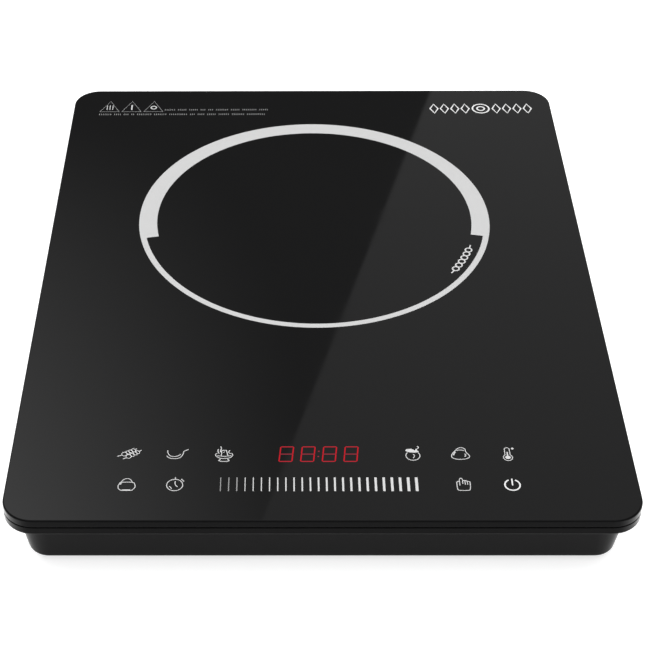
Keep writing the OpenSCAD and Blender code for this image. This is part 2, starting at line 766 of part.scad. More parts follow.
// Flat cable from the main board up to the control board
ribbon_route = [[-138.5, 30.5], [-138.2, 31.7], [-136.8, 32.3], [-134.4, 31.7], [-132.4, 28.6],
    [-128, 25.6], [-122, 25.2], [-118.9, 23.6], [-118, 19.6]];

module ribbon_cable() {
    color([0.8, 0.8, 0.82]) translate([23.2, 0, 0]) rotate([90, 0, 90])
        linear_extrude(12.6) polygon(strip(smooth(ribbon_route, 4), 0.6));
}

// ---- Cooling fan ---------------------------------------------------------

module fan_frame() {
    color([0.09, 0.09, 0.09]) translate([fan_x, fan_y, 0]) difference() {
        union() {
            difference() {
                translate([0, 0, fan_z]) linear_extrude(fan_h) round_rect(fan_w, fan_w, 4);
                translate([0, 0, fan_z - 1]) cylinder(r = fan_bore_r, h = fan_h + 2);
            }
            // Motor base, held by four struts on the outlet side
            translate([0, 0, strut_z]) cylinder(r = 16, h = 2.2);
            for (a = [45 : 90 : 315]) rotate([0, 0, a]) translate([12, -1.8, strut_z]) cube([fan_bore_r - 11, 3.6, 2.2]);
            translate([0, 0, strut_z - 8]) cylinder(r = 4.6, h = 8);
        }
        translate([0, 0, strut_z - 9]) cylinder(r = bearing_r, h = 20);
        for (x = [-1, 1], y = [-1, 1]) translate([x * fan_hole, y * fan_hole, fan_z - 1]) cylinder(r = 2.15, h = fan_h + 2);
        // Open corners between the two flanges, outside the duct's wall
        translate([0, 0, fan_z + fan_flange]) linear_extrude(fan_h - 2 * fan_flange) difference() {
            square(fan_w + 2, center = true);
            circle(fan_bore_r + 1.3);
        }
    }
}

module fan_bearing() {
    color([0.75, 0.6, 0.3]) translate([fan_x, fan_y, 0])
        ring(bearing_r, shaft_r + bearing_clearance, strut_z - 8, 9);
}

module fan_stator() {
    translate([fan_x, fan_y, strut_z - 7]) {
        color([0.5, 0.5, 0.52]) difference() {
            union() {
                cylinder(r = 6.2, h = 5);
                for (a = [0 : 90 : 270]) rotate([0, 0, a]) {
                    translate([5, -1.6, 0]) cube([5.5, 3.2, 5]);
                    intersection() {
                        ring(12.2, 10, 0, 5);
                        translate([8, -6, -1]) cube([6, 12, 7]);
                    }
                }
            }
            translate([0, 0, -1]) cylinder(r = 4.6, h = 8);
        }
    }
}

module fan_screws() {
    color([0.7, 0.7, 0.72]) for (x = [-1, 1], y = [-1, 1])
        translate([fan_x + x * fan_hole, fan_y + y * fan_hole, 0])
            screw_down(fan_z + fan_h + 2, 3.4, 2, 1.3, 20.5);
}

fan_route = [[-84, -90, 25], [-72, -90, 27], [-56, -96, 27], [-46, -106, 26], [-38, -117, 24.5],
    [-30, -121, 24], [-20, -125, 24], [-9, -122.6, 24], [-4.6, -119, 21.6], [-4, -117.6, 18]];

module fan_leads() {
    color([0.7, 0.1, 0.1]) wire_pair(smooth(fan_route, 4), 0.7, 1.8);
}

// One blade: a thin curved plate, pitched less at the tip than at the hub
module fan_blade() {
    spans = 5;
    chords = 5;
    thick = 1.1;
    function blade_point(i, k, side) =
        let (
            s = i / spans,
            r = fan_hub_r - 0.6 + s * (fan_tip_r - fan_hub_r + 0.6),
            c = k / chords - 0.5,
            z = rotor_h * (0.5 + 0.82 * c) + side * thick / 2,
            a = (38 + 2 * s) * c + 4 * sin(180 * (c + 0.5)))
        [r * cos(a), r * sin(a), z];
    rows = spans + 1;
    cols = chords + 1;
    half = rows * cols;
    points = [for (side = [-1, 1], i = [0 : spans], k = [0 : chords]) blade_point(i, k, side)];
    cells = [for (i = [0 : spans - 1], k = [0 : chords - 1]) i * cols + k];
    rim = concat(
        [for (k = [0 : chords - 1]) k],
        [for (i = [0 : spans - 1]) i * cols + chords],
        [for (k = [chords : -1 : 1]) spans * cols + k],
        [for (i = [spans : -1 : 1]) i * cols]);
    polyhedron(points = points, faces = concat(
        [for (c = cells) [c, c + cols + 1, c + 1]],
        [for (c = cells) [c, c + cols, c + cols + 1]],
        [for (c = cells) [half + c, half + c + 1, half + c + cols + 1]],
        [for (c = cells) [half + c, half + c + cols + 1, half + c + cols]],
        [for (i = [0 : len(rim) - 1]) let (a = rim[i], b = rim[(i + 1) % len(rim)]) [a, b, half + a]],
        [for (i = [0 : len(rim) - 1]) let (a = rim[i], b = rim[(i + 1) % len(rim)]) [half + a, b, half + b]]));
}

module fan_impeller() {
    color([0.12, 0.12, 0.12]) translate([fan_x, fan_y, rotor_z]) {
        difference() {
            union() {
                difference() {
                    rotate_extrude() edge_profile(fan_hub_r, 0, rotor_h, 1, 0.2);
                    translate([0, 0, 1.4]) cylinder(r = fan_hub_r - 1.4, h = rotor_h);
                }
                translate([0, 0, 1.2]) cylinder(r = 3, h = 2.2);
            }
            translate([0, 0, 0.6]) cylinder(r = shaft_r, h = 4);
        }
        for (i = [0 : blade_count - 1]) rotate([0, 0, i * 360 / blade_count]) fan_blade();
    }
}

module fan_magnet() {
    color([0.3, 0.3, 0.32]) translate([fan_x, fan_y, rotor_z]) ring(fan_hub_r - 1.4, 12.6, 1.4, rotor_h - 2.4);
}

module fan_shaft() {
    color([0.75, 0.75, 0.78]) translate([fan_x, fan_y, rotor_z + 0.6]) cylinder(r = shaft_r, h = rotor_h + 1.6);
}

// ---- Nodes ---------------------------------------------------------------

glass_top();
glass_seal();
upper_frame();
lower_housing();
foot(-1, -1);  // foot_front_left
foot(1, -1);  // foot_front_right
foot(-1, 1);  // foot_rear_left
foot(1, 1);  // foot_rear_right
case_screws();
cord_gland();
cord_gland_nut();
coil_former();
induction_coil();
ferrite_bar(1);  // ferrite_bar_1
ferrite_bar(2);  // ferrite_bar_2
ferrite_bar(3);  // ferrite_bar_3
ferrite_bar(4);  // ferrite_bar_4
ferrite_bar(5);  // ferrite_bar_5
ferrite_bar(6);  // ferrite_bar_6
mica_sheet();
insulation_pad();
sensor_cap();
coil_thermistor();
sensor_leads();
coil_screws();
coil_lead(inner_route, terminal_y[0]);  // coil_lead_inner
coil_lead(outer_route, terminal_y[1]);  // coil_lead_outer
main_board();
board_screws();
heat_sink();
igbt();
bridge_rectifier();
resonant_capacitor();
smoothing_capacitor();
interference_capacitor();
choke_core();
choke_winding();
supply_transformer();
electrolytic_capacitors();
fuse();
varistor();
buzzer();
screw_terminals();
board_connectors();
control_board();
control_tray();
tray_screws();
display_module();
touch_pads();
touch_controller();
ribbon_cable();
fan_frame();
fan_stator();
fan_bearing();
fan_screws();
fan_leads();
fan_impeller();
fan_magnet();
fan_shaft();
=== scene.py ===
"""Looks of a portable induction cooktop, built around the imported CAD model.

Everything is in metres in the CAD frame: +X is the user's right, +Y the back and +Z up.
Lengths written in millimetres are multiplied by MM where they are used.
"""

import json
import math

import bmesh
import bpy
from mathutils import Matrix, Vector


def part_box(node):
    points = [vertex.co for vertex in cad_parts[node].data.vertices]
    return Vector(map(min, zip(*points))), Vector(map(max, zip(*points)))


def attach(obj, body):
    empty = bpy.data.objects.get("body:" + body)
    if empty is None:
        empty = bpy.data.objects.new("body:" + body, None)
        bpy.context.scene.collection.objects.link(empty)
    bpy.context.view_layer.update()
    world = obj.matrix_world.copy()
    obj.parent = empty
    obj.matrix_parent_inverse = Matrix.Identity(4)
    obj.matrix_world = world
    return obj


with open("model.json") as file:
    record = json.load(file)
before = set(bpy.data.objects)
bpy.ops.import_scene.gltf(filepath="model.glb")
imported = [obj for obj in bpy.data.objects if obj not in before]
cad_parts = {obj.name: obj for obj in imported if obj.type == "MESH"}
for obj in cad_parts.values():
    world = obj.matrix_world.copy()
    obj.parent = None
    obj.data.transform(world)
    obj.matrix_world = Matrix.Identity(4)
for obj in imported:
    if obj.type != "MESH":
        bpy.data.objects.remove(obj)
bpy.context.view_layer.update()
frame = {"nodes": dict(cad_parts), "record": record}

MM = 0.001
BODY = "cooktop"
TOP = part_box("glass_top")[1].z

# ---- Node helpers --------------------------------------------------------


class Graph:
    """A node tree under construction, with short calls for the nodes used here."""

    def __init__(self, tree):
        self.tree = tree
        self.tree.nodes.clear()

    def add(self, kind, **settings):
        node = self.tree.nodes.new(kind)
        for key, value in settings.items():
            setattr(node, key, value)
        return node

    def put(self, value, socket):
        """Links an output socket, or sets a plain value."""
        if isinstance(value, bpy.types.NodeSocket):
            self.tree.links.new(value, socket)
        else:
            socket.default_value = value

    def math(self, operation, a, b=0.0):
        node = self.add("ShaderNodeMath", operation=operation)
        self.put(a, node.inputs[0])
        self.put(b, node.inputs[1])
        return node.outputs[0]

    def ramp(self, value, low, high, out_low=0.0, out_high=1.0):
        """Eases from out_low, where value is low, to out_high, where it is high."""
        node = self.add("ShaderNodeMapRange", interpolation_type="SMOOTHSTEP")
        names = ("Value", "From Min", "From Max", "To Min", "To Max")
        for name, number in zip(names, (value, low, high, out_low, out_high)):
            self.put(number, node.inputs[name])
        return node.outputs["Result"]

    def mix(self, factor, a, b):
        """Blends two numbers."""
        node = self.add("ShaderNodeMix", data_type="FLOAT")
        self.put(factor, node.inputs["Factor"])
        self.put(a, node.inputs["A"])
        self.put(b, node.inputs["B"])
        return node.outputs["Result"]

    def blend(self, factor, a, b):
        """Blends two colours."""
        node = self.add("ShaderNodeMix", data_type="RGBA")
        sockets = [s for s in node.inputs if s.type == "RGBA"]
        self.put(factor, node.inputs["Factor"])
        self.put(rgba(a), sockets[0])
        self.put(rgba(b), sockets[1])
        return [s for s in node.outputs if s.type == "RGBA"][0]

    def place(self):
        """The object's own coordinates in metres, so that a finish moves with its body."""
        return self.add("ShaderNodeTexCoord").outputs["Object"]

    def stretch(self, vector, scale):
        """Coordinates scaled along each axis, so that a pattern runs long where scale is small."""
        node = self.add("ShaderNodeMapping")
        self.put(vector, node.inputs["Vector"])
        node.inputs["Scale"].default_value = scale
        return node.outputs["Vector"]

    def noise(self, vector, size_mm, detail=2.0, rough=0.5):
        """Noise whose features are about size_mm across."""
        node = self.add("ShaderNodeTexNoise")
        self.put(vector, node.inputs["Vector"])
        node.inputs["Scale"].default_value = 1.0 / MM / size_mm
        node.inputs["Detail"].default_value = detail
        node.inputs["Roughness"].default_value = rough
        return node.outputs["Fac"]

    def cells(self, vector, size_mm, output="Distance"):
        """Irregular cells about size_mm across: the distance to each middle, or a colour for each."""
        node = self.add("ShaderNodeTexVoronoi")
        self.put(vector, node.inputs["Vector"])
        node.inputs["Scale"].default_value = 1.0 / MM / size_mm
        return node.outputs[output]

    def bump(self, height, depth_mm):
        node = self.add("ShaderNodeBump")
        node.inputs["Strength"].default_value = 1.0
        node.inputs["Distance"].default_value = depth_mm * MM
        self.put(height, node.inputs["Height"])
        return node.outputs["Normal"]


def rgba(colour):
    if isinstance(colour, bpy.types.NodeSocket):
        return colour
    return (*colour[:3], 1.0)


def shade(colour, factor):
    return tuple(min(1.0, c * factor) for c in colour[:3])


def finish_material(name, build):
    """A material whose node tree is made by build(graph, bsdf)."""
    material = bpy.data.materials.new(name)
    material.use_nodes = True
    graph = Graph(material.node_tree)
    bsdf = graph.add("ShaderNodeBsdfPrincipled")
    output = graph.add("ShaderNodeOutputMaterial")
    graph.tree.links.new(bsdf.outputs["BSDF"], output.inputs["Surface"])
    build(graph, bsdf)
    return material


def set_gloss(bsdf, level):
    bsdf.inputs["Specular IOR Level"].default_value = level


def coat(graph, bsdf, colour, roughness, normal):
    """Links the three channels that every finish varies."""
    graph.put(colour, bsdf.inputs["Base Color"])
    graph.put(roughness, bsdf.inputs["Roughness"])
    graph.put(normal, bsdf.inputs["Normal"])


# ---- Materials -----------------------------------------------------------

# Gloss of the glass's face and of its ground edge: lower than real glass, for dim reflections
GLOSS, EDGE_GLOSS = 0.18, 0.045


def glass_finish(graph, bsdf):
    """Polished black glass: faint waviness and wipe marks, and a satin ground edge."""
    at = graph.place()
    tint = graph.blend(graph.noise(at, 60.0, 3.0), (0.0026, 0.0026, 0.0028), (0.0034, 0.0034, 0.0035))
    wipes = graph.noise(graph.stretch(at, (0.25, 1.0, 1.0)), 22.0, 6.0, 0.6)
    polish = graph.ramp(wipes, 0.35, 0.75, 0.018, 0.04)
    split = graph.add("ShaderNodeSeparateXYZ")
    graph.put(graph.add("ShaderNodeNewGeometry").outputs["Normal"], split.inputs[0])
    flat = graph.ramp(graph.math("ABSOLUTE", split.outputs["Z"]), 0.985, 0.999)
    waves = graph.bump(graph.noise(at, 14.0, 1.0), 0.0012)
    coat(graph, bsdf, tint, graph.mix(flat, 0.12, polish), waves)
    graph.put(graph.mix(flat, EDGE_GLOSS, GLOSS), bsdf.inputs["Specular IOR Level"])


def plastic(colour, roughness, grain_mm=0.45, depth_mm=0.012, gloss=0.3, tone=0.12):
    """Moulded plastic: spark-eroded grain, slight tone drift and uneven sheen."""
    def build(graph, bsdf):
        at = graph.place()
        drift = graph.blend(graph.noise(at, 35.0, 3.0), shade(colour, 1 - tone), shade(colour, 1 + tone))
        grain = graph.noise(at, grain_mm, 3.0, 0.6)
        patches = graph.ramp(graph.noise(at, 9.0, 2.0), 0.3, 0.7, -0.03, 0.03)
        sheen = graph.math("ADD", patches, roughness)
        sheen = graph.math("ADD", sheen, graph.ramp(grain, 0.3, 0.7, -0.03, 0.04))
        coat(graph, bsdf, drift, sheen, graph.bump(grain, depth_mm))
        set_gloss(bsdf, gloss)
    return build


def rubber(colour, roughness=0.75):
    """Matte rubber with a talc bloom and fine pores."""
    def build(graph, bsdf):
        at = graph.place()
        bloom = graph.noise(at, 5.0, 5.0, 0.65)
        tone = graph.blend(graph.ramp(bloom, 0.4, 0.8), colour, shade(colour, 1.7))
        dull = graph.ramp(bloom, 0.3, 0.7, roughness - 0.06, roughness + 0.08)
        coat(graph, bsdf, tone, dull, graph.bump(graph.noise(at, 0.3, 2.0), 0.015))
        set_gloss(bsdf, 0.35)
    return build


def metal(colour, roughness=0.3, lines=(1.0, 14.0, 1.0)):
    """Drawn or turned metal: fine lines along one axis and a little tarnish."""
    def build(graph, bsdf):
        at = graph.place()
        bsdf.inputs["Metallic"].default_value = 1.0
        brushed = graph.noise(graph.stretch(at, lines), 1.6, 4.0, 0.7)
        tarnish = graph.ramp(graph.noise(at, 12.0, 4.0), 0.35, 0.8)
        worn = graph.ramp(brushed, 0.25, 0.75, roughness - 0.07, roughness + 0.12)
        tone = graph.blend(tarnish, colour, shade(colour, 0.72))
        coat(graph, bsdf, tone, worn, graph.bump(brushed, 0.003))
    return build


def litz(graph, bsdf):
    """Stranded enamelled copper: bundles of strands, with painted shade in the sunken gaps between them.
    """
    at = graph.place()
    bsdf.inputs["Metallic"].default_value = 1.0
    strands = graph.cells(graph.stretch(at, (1.0, 1.0, 1.6)), 0.9)
    copper = graph.blend(graph.noise(at, 6.0, 2.0), (0.56, 0.22, 0.09), (0.74, 0.34, 0.16))
    # Painted shade: each strand darkens towards its edge and into the gaps between strands
    tone = graph.blend(graph.ramp(strands, 0.25, 0.65), copper, (0.14, 0.05, 0.02))
    height = graph.math("SUBTRACT", 1.0, strands)
    coat(graph, bsdf, tone, graph.ramp(strands, 0.1, 0.7, 0.22, 0.5), graph.bump(height, 0.12))


def pressed(colour, roughness=0.6, grain_mm=0.35, gloss=0.4):
    """Pressed ferrite or ceramic: fine sintered grain with dark specks."""
    def build(graph, bsdf):
        at = graph.place()
        specks = graph.ramp(graph.cells(at, grain_mm * 3), 0.0, 0.28, 0.5, 0.0)
        body = graph.blend(graph.noise(at, 8.0, 3.0), shade(colour, 0.85), shade(colour, 1.15))
        tone = graph.blend(specks, body, shade(colour, 0.45))
        sheen = graph.ramp(graph.noise(at, grain_mm), 0.3, 0.7, roughness - 0.08, roughness + 0.08)
        coat(graph, bsdf, tone, sheen, graph.bump(graph.noise(at, grain_mm, 3.0), 0.01))
        set_gloss(bsdf, gloss)
    return build


def glaze(colour):
    """Dipped or glazed coating: smooth, with slow waviness and pooled tone."""
    def build(graph, bsdf):
        pool = graph.noise(graph.place(), 4.0, 2.0)
        tone = graph.blend(pool, shade(colour, 0.82), shade(colour, 1.12))
        coat(graph, bsdf, tone, graph.ramp(pool, 0.3, 0.7, 0.16, 0.3), graph.bump(pool, 0.04))
    return build


def cell_tones(graph, vector, size_mm):
    """A random grey for each cell of a broken surface."""
    grey = graph.add("ShaderNodeRGBToBW")
    graph.put(graph.cells(vector, size_mm, "Color"), grey.inputs[0])
    return grey.outputs[0]


def mica_finish(graph, bsdf):
    """Layered mica: flakes of slightly different tan with a pearly sheen."""
    at = graph.place()
    flakes = cell_tones(graph, graph.stretch(at, (1.0, 0.6, 1.0)), 7.0)
    tone = graph.blend(flakes, (0.5, 0.42, 0.27), (0.68, 0.61, 0.46))
    sheen = graph.ramp(flakes, 0.2, 0.9, 0.28, 0.5)
    coat(graph, bsdf, tone, sheen, graph.bump(graph.noise(at, 2.5, 4.0), 0.02))


def fibre_finish(graph, bsdf):
    """Ceramic fibre paper: soft felted fibres."""
    at = graph.place()
    fibres = graph.noise(graph.stretch(at, (1.0, 5.0, 1.0)), 2.2, 6.0, 0.7)
    cross = graph.noise(graph.stretch(at, (5.0, 1.0, 1.0)), 2.2, 6.0, 0.7)
    felt = graph.math("MAXIMUM", fibres, cross)
    tone = graph.blend(felt, (0.66, 0.65, 0.6), (0.9, 0.89, 0.85))
    coat(graph, bsdf, tone, graph.ramp(felt, 0.3, 0.7, 0.8, 0.95), graph.bump(felt, 0.12))
    bsdf.inputs["Sheen Weight"].default_value = 0.25


def board_finish(graph, bsdf):
    """Solder-masked laminate: woven glass cloth below the mask, with lighter copper pours."""
    at = graph.place()
    pours = graph.ramp(cell_tones(graph, graph.stretch(at, (1.0, 2.2, 0.01)), 17.0), 0.45, 0.55)
    weave = graph.add("ShaderNodeTexWave", wave_type="BANDS", bands_direction="X")
    graph.put(at, weave.inputs["Vector"])
    weave.inputs["Scale"].default_value = 420.0
    weave.inputs["Distortion"].default_value = 1.5
    cloth = weave.outputs["Fac"]
    tone = graph.blend(pours, (0.012, 0.085, 0.035), (0.02, 0.16, 0.065))
    coat(graph, bsdf, tone, graph.ramp(cloth, 0.2, 0.8, 0.24, 0.34), graph.bump(cloth, 0.01))


FINISHES = {
    "black_glass": glass_finish,
    "seal": rubber((0.0035, 0.0035, 0.0035)),
    "frame_plastic": plastic((0.0022, 0.0022, 0.0023), 0.14, 0.3, 0.0015, 0.05),
    "housing_plastic": plastic((0.0028, 0.0028, 0.0029), 0.18, 0.4, 0.0015, 0.05),
    "foot_rubber": rubber((0.018, 0.018, 0.018)),
    "zinc_screw": metal((0.5, 0.52, 0.55), 0.3),
    "gland_nylon": plastic((0.008, 0.008, 0.008), 0.42, 0.6, 0.01, 0.25),
    "former_resin": plastic((0.03, 0.03, 0.033), 0.5),
    "copper_litz": litz,
    "ferrite": pressed((0.06, 0.06, 0.066)),
    "mica": mica_finish,
    "fibre_pad": fibre_finish,
    "silicone_cap": rubber((0.5, 0.5, 0.47), 0.6),
    "glass_bead": glaze((0.2, 0.25, 0.12)),
    "white_wire": plastic((0.75, 0.75, 0.71), 0.45, 0.3, 0.004),
    "brown_wire": plastic((0.36, 0.08, 0.04), 0.5, 0.4, 0.008),
    "red_wire": plastic((0.5, 0.03, 0.03), 0.45, 0.3, 0.004),
    "circuit_board": board_finish,
    "aluminium_fin": metal((0.6, 0.61, 0.63), 0.38, (1.0, 0.08, 1.0)),
    "epoxy_black": pressed((0.018, 0.018, 0.02), 0.5, 0.2, 0.35),
    "film_blue": plastic((0.03, 0.1, 0.36), 0.3, 1.2, 0.01, 0.5),
    "film_cream": plastic((0.72, 0.64, 0.44), 0.32, 1.2, 0.01, 0.5),
    "film_yellow": plastic((0.8, 0.5, 0.03), 0.3, 1.2, 0.01, 0.5),
    "transformer_core": pressed((0.07, 0.06, 0.05)),
    "can_sleeve": plastic((0.02, 0.05, 0.16), 0.26, 1.0, 0.004, 0.5),
    "fuse_ceramic": glaze((0.82, 0.82, 0.77)),
    "varistor_blue": glaze((0.03, 0.14, 0.45)),
    "terminal_brass": metal((0.72, 0.56, 0.24), 0.26),
    "connector_white": plastic((0.78, 0.77, 0.7), 0.4),
    "tray_plastic": plastic((0.03, 0.03, 0.033), 0.5),
    "display_resin": plastic((0.04, 0.006, 0.006), 0.25, 1.0, 0.003, 0.5),
    "sensor_foam": rubber((0.02, 0.02, 0.02), 0.85),
    "flat_cable": plastic((0.6, 0.6, 0.63), 0.4, 1.3, 0.02),
    "fan_plastic": plastic((0.014, 0.014, 0.015), 0.36, 0.6, 0.008),
    "motor_steel": metal((0.42, 0.43, 0.45), 0.34, (1.0, 1.0, 12.0)),
    "bearing_bronze": metal((0.56, 0.36, 0.16), 0.3),
    "magnet": pressed((0.05, 0.05, 0.054), 0.55, 0.25),
}


def printed_ink(level):
    """Fired white enamel: screen-printed grain and slow clouds in its tone."""
    def build(graph, bsdf):
        at = graph.place()
        speckle = graph.noise(at, 0.35, 3.0, 0.7)
        cloud = graph.ramp(graph.noise(at, 9.0, 2.0), 0.3, 0.7, 0.0, 0.5)
        grain = graph.blend(graph.ramp(speckle, 0.3, 0.62), (level * 0.9,) * 3, (level * 1.02,) * 3)
        tone = graph.blend(cloud, grain, (level,) * 3)
        coat(graph, bsdf, tone, graph.ramp(speckle, 0.3, 0.7, 0.39, 0.53), graph.bump(speckle, 0.003))
        set_gloss(bsdf, 0.3)
    return build


def lit_segment(colour, strength):
    """A red display segment seen through the glass, with a slightly uneven glow."""
    def build(graph, bsdf):
        wash = graph.noise(graph.place(), 3.0, 2.0)
        bsdf.inputs["Base Color"].default_value = (0.02, 0.002, 0.002, 1.0)
        glow = graph.blend(wash, shade(colour, 0.9), shade(colour, 1.1))
        graph.put(glow, bsdf.inputs["Emission Color"])
        bsdf.inputs["Emission Strength"].default_value = strength
        graph.put(graph.ramp(wash, 0.3, 0.7, 0.2, 0.3), bsdf.inputs["Roughness"])
        set_gloss(bsdf, 0.03)
    return build


def foil_finish(graph, bsdf):
    """Blank satin foil label."""
    grain = graph.noise(graph.stretch(graph.place(), (0.05, 1.0, 1.0)), 0.6, 4.0, 0.7)
    bsdf.inputs["Metallic"].default_value = 0.8
    tone = graph.blend(grain, (0.42, 0.43, 0.45), (0.56, 0.57, 0.59))
    coat(graph, bsdf, tone, graph.ramp(grain, 0.3, 0.7, 0.38, 0.5), graph.bump(grain, 0.002))


made = {name: finish_material(name, build) for name, build in FINISHES.items()}
INK = finish_material("printed_ink", printed_ink(0.56))
INK_FINE = finish_material("printed_ink_fine", printed_ink(0.63))
INK_CLEAR = finish_material("printed_ink_clear", printed_ink(0.78))
INK_FAINT = finish_material("printed_ink_faint", printed_ink(0.3))
LED_BRIGHT = finish_material("led_bright", lit_segment((1.0, 0.015, 0.035), 0.6))
LED_DIM = finish_material("led_dim", lit_segment((1.0, 0.04, 0.07), 0.5))
LED_FAINT = finish_material("led_faint", lit_segment((1.0, 0.1, 0.16), 0.3))
FOIL = finish_material("blank_foil", foil_finish)

for row in frame["record"]["subparts"]:
    mesh = frame["nodes"][row["node"]].data
    mesh.materials.clear()
    mesh.materials.append(made[row["material_slot"]])

# ---- Flat drawing, in millimetres from the centre of the glass ------------


def arc(cx, cy, rx, ry, start, stop, steps=24):
    """Points on an ellipse, from angle start to stop in degrees."""
    return [
        (
            cx + rx * math.cos(math.radians(start + (stop - start) * i / steps)),
            cy + ry * math.sin(math.radians(start + (stop - start) * i / steps)),
        )
        for i in range(steps + 1)
    ]


def between(a, b, c, d, t):
    """The value at t from b to c, on a curve through all four."""
    lean = 2 * b + (c - a) * t
    bend = (2 * a - 5 * b + 4 * c - d) * t * t
    twist = (3 * b - a - 3 * c + d) * t ** 3
    return 0.5 * (lean + bend + twist)


def smooth(points, steps=5, closed=False):
    """A curve through the points."""
    n = len(points)
    out = []
    for i in range(n if closed else n - 1):
        if closed:
            near = [points[(i + k) % n] for k in (-1, 0, 1, 2)]
        else:
            near = [points[min(max(i + k, 0), n - 1)] for k in (-1, 0, 1, 2)]
        for s in range(steps):
            out.append(tuple(between(*four, s / steps) for four in zip(*near)))
    return out if closed else out + [points[-1]]


# Height of the first shape of a drawing above the glass, and of each next one above that
INK_THICK, INK_STEP = 0.03, 0.0008


class Drawing:
    """Thin printed shapes that become one mesh. Each shape is a hair higher than the last."""

    def __init__(self, name, material, centre=(0.0, 0.0)):
        self.name, self.material, self.centre = name, material, centre
        self.mesh = bmesh.new()
        self.count = 0

    def level(self):
        self.count += 1
        return TOP + (INK_THICK + INK_STEP * self.count) * MM

    def vert(self, point, z):
        return self.mesh.verts.new(((self.centre[0] + point[0]) * MM, (self.centre[1] + point[1]) * MM, z))

    def rails(self, left, right, closed=False):
        """A solid strip between two rows of points."""
        high = self.level()
        rows = []
        for a, b in zip(left, right):
            rows.append([self.vert(p, z) for p, z in ((a, high), (b, high), (b, TOP), (a, TOP))])
        pairs = list(zip(rows, rows[1:])) + ([(rows[-1], rows[0])] if closed else [])
        for p, q in pairs:
            for k in range(4):
                self.mesh.faces.new((p[k], q[k], q[(k + 1) % 4], p[(k + 1) % 4]))
        if not closed:
            self.mesh.faces.new(rows[0][::-1])
            self.mesh.faces.new(rows[-1])

    def stroke(self, points, width, closed=False):
        """A line of even width along the points, mitred at its corners."""
        n = len(points)
        left, right = [], []
        for i, p in enumerate(points):
            before = points[i - 1] if closed or i > 0 else None
            after = points[(i + 1) % n] if closed or i < n - 1 else None
            sides = []
            for a, b in ((before, p), (p, after)):
                if a is not None and b is not None:
                    dx, dy = b[0] - a[0], b[1] - a[1]
                    size = math.hypot(dx, dy) or 1.0
                    sides.append((-dy / size, dx / size))
            nx = sum(s[0] for s in sides) / len(sides)
            ny = sum(s[1] for s in sides) / len(sides)
            reach = width / 2 / max(nx * nx + ny * ny, 0.4)
            left.append((p[0] + nx * reach, p[1] + ny * reach))
            right.append((p[0] - nx * reach, p[1] - ny * reach))
        self.rails(left, right, closed)

    def ring(self, cx, cy, r, width, steps=36):
        self.stroke(arc(cx, cy, r, r, 0, 360, steps)[:-1], width, closed=True)

    def oval(self, cx, cy, along, across, tilt, width):
        """An ellipse turned by tilt degrees."""
        c, s = math.cos(math.radians(tilt)), math.sin(math.radians(tilt))
        loop = [(cx + x * c - y * s, cy + x * s + y * c) for x, y in arc(0, 0, along, across, 0, 360)[:-1]]
        self.stroke(loop, width, closed=True)

    def sector(self, cx, cy, inner, outer, start, stop, steps):
        """Part of a flat ring, from angle start to stop in degrees."""
        rim = arc(cx, cy, outer, outer, start, stop, steps)
        self.rails(rim, arc(cx, cy, inner, inner, start, stop, steps))

    def fill(self, points):
        """A solid plate inside the outline that the points make."""
        high = self.level()
        upper = [self.vert(p, high) for p in points]
        lower = [self.vert(p, TOP) for p in points]
        caps = [self.mesh.faces.new(upper), self.mesh.faces.new(lower[::-1])]
        for i in range(len(points)):
            j = (i + 1) % len(points)
            self.mesh.faces.new((upper[i], lower[i], lower[j], upper[j]))
        bmesh.ops.triangulate(self.mesh, faces=caps)

    def disc(self, cx, cy, r, steps=20):
        self.fill(arc(cx, cy, r, r, 0, 360, steps)[:-1])

    def bar(self, cx, cy, w, h):
        self.fill([
            (cx - w / 2, cy - h / 2), (cx + w / 2, cy - h / 2),
            (cx + w / 2, cy + h / 2), (cx - w / 2, cy + h / 2),
        ])

    def done(self):
        bmesh.ops.recalc_face_normals(self.mesh, faces=self.mesh.faces)
        data = bpy.data.meshes.new(self.name)
        self.mesh.to_mesh(data)
        self.mesh.free()
        data.materials.append(self.material)
        piece = bpy.data.objects.new(self.name, data)
        bpy.context.scene.collection.objects.link(piece)
        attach(piece, BODY)


# Cooking zone: a broad band over the back that steps down, at two angles, to a narrow
# one in front
ZONE, ZONE_R = (-0.5, 48.9), 96.8
BROAD, NARROW = 9.9, 3.2
STEP_RIGHT, STEP_LEFT = -10.6, 191.5

zone = Drawing("zone_ring", INK, ZONE)
zone.sector(0, 0, ZONE_R - BROAD, ZONE_R, STEP_RIGHT, STEP_LEFT, 160)
zone.sector(0, 0, ZONE_R - NARROW, ZONE_R, STEP_LEFT, 360 + STEP_RIGHT, 128)
zone.done()

# Plain coil symbol inside the ring: a row of turns between two short tails. Its middle,
# its step and its tails are angles round the zone in degrees.
COIL_AT, COIL_MIDDLE, TURNS, TURN_R, COIL_LINE = 88.3, -26.1, 6, 1.75, 0.75
TURN_STEP, TAIL = 2.42, 1.8
coil = Drawing("zone_coil_symbol", INK_FINE, ZONE)
for k in range(TURNS):
    facing = math.radians(COIL_MIDDLE + (k - (TURNS - 1) / 2) * TURN_STEP)
    coil.ring(COIL_AT * math.cos(facing), COIL_AT * math.sin(facing), TURN_R, COIL_LINE, steps=28)
reach = TURNS * TURN_STEP / 2
for side in (-1, 1):
    tail_from = COIL_MIDDLE + side * (reach - 0.1)
    tail_to = COIL_MIDDLE + side * (reach + TAIL)
    coil.stroke(arc(0, 0, COIL_AT, COIL_AT, tail_from, tail_to, 4), COIL_LINE)
coil.done()

# Ten touch symbols in two rows
LINE = 0.38

